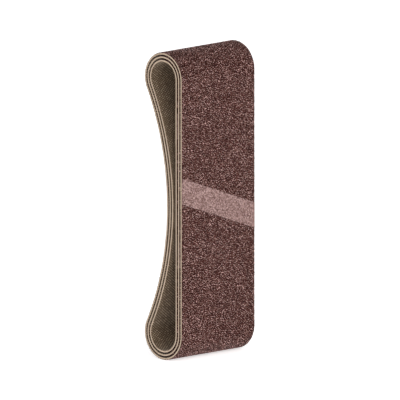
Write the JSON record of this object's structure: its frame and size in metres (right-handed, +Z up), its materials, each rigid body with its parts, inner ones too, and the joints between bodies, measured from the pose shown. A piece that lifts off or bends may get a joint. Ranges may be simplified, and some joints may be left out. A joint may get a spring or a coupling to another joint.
{
  "type": "nested sanding belts",
  "caption": "Nested pack of endless cloth-backed sanding belts, grain outside, with rounded ends, a pinched waist and slanted joints.",
  "frame": {"origin": "peg seat: the crown of the innermost belt's upper turn, on its cloth, at mid width", "axes": "+Z up along the pack's length, X across the belts' width, and -Y out of the flat run that carries the joints"},
  "size_m": [0.06, 0.031, 0.1823],
  "materials": {
    "backing_cloth": "twill-woven cotton backing, filled and matt, tan",
    "bond_resin": "cured dark brown phenolic resin",
    "grain": "brown fused alumina grain, coarse and resin-coated, with light glints",
    "levelled_grain": "grain ground level over the joint, finer, paler and pinkish",
    "seam_glue": "cured amber-brown adhesive",
    "joint_film": "thin filament-reinforced film tape, satin"
  },
  "bodies": {
    "inner_belt": {"inner_cloth_backing": "backing_cloth", "inner_seam_glue": "seam_glue", "inner_resin_bond": "bond_resin", "inner_grain_coat": "grain", "inner_levelled_joint": "levelled_grain", "inner_joint_tape": "joint_film"},
    "middle_belt": {"middle_cloth_backing": "backing_cloth", "middle_seam_glue": "seam_glue", "middle_resin_bond": "bond_resin", "middle_grain_coat": "grain", "middle_levelled_joint": "levelled_grain", "middle_joint_tape": "joint_film"},
    "outer_belt": {"outer_cloth_backing": "backing_cloth", "outer_seam_glue": "seam_glue", "outer_resin_bond": "bond_resin", "outer_grain_coat": "grain", "outer_levelled_joint": "levelled_grain", "outer_joint_tape": "joint_film"}
  },
  "joints": [
    {"name": "middle_belt_slide", "type": "slide", "parent": "inner_belt", "child": "middle_belt", "axis": [1, 0, 0], "range_m": [-0.064, 0.064]},
    {"name": "outer_belt_slide", "type": "slide", "parent": "middle_belt", "child": "outer_belt", "axis": [1, 0, 0], "range_m": [-0.064, 0.064]}
  ]
}
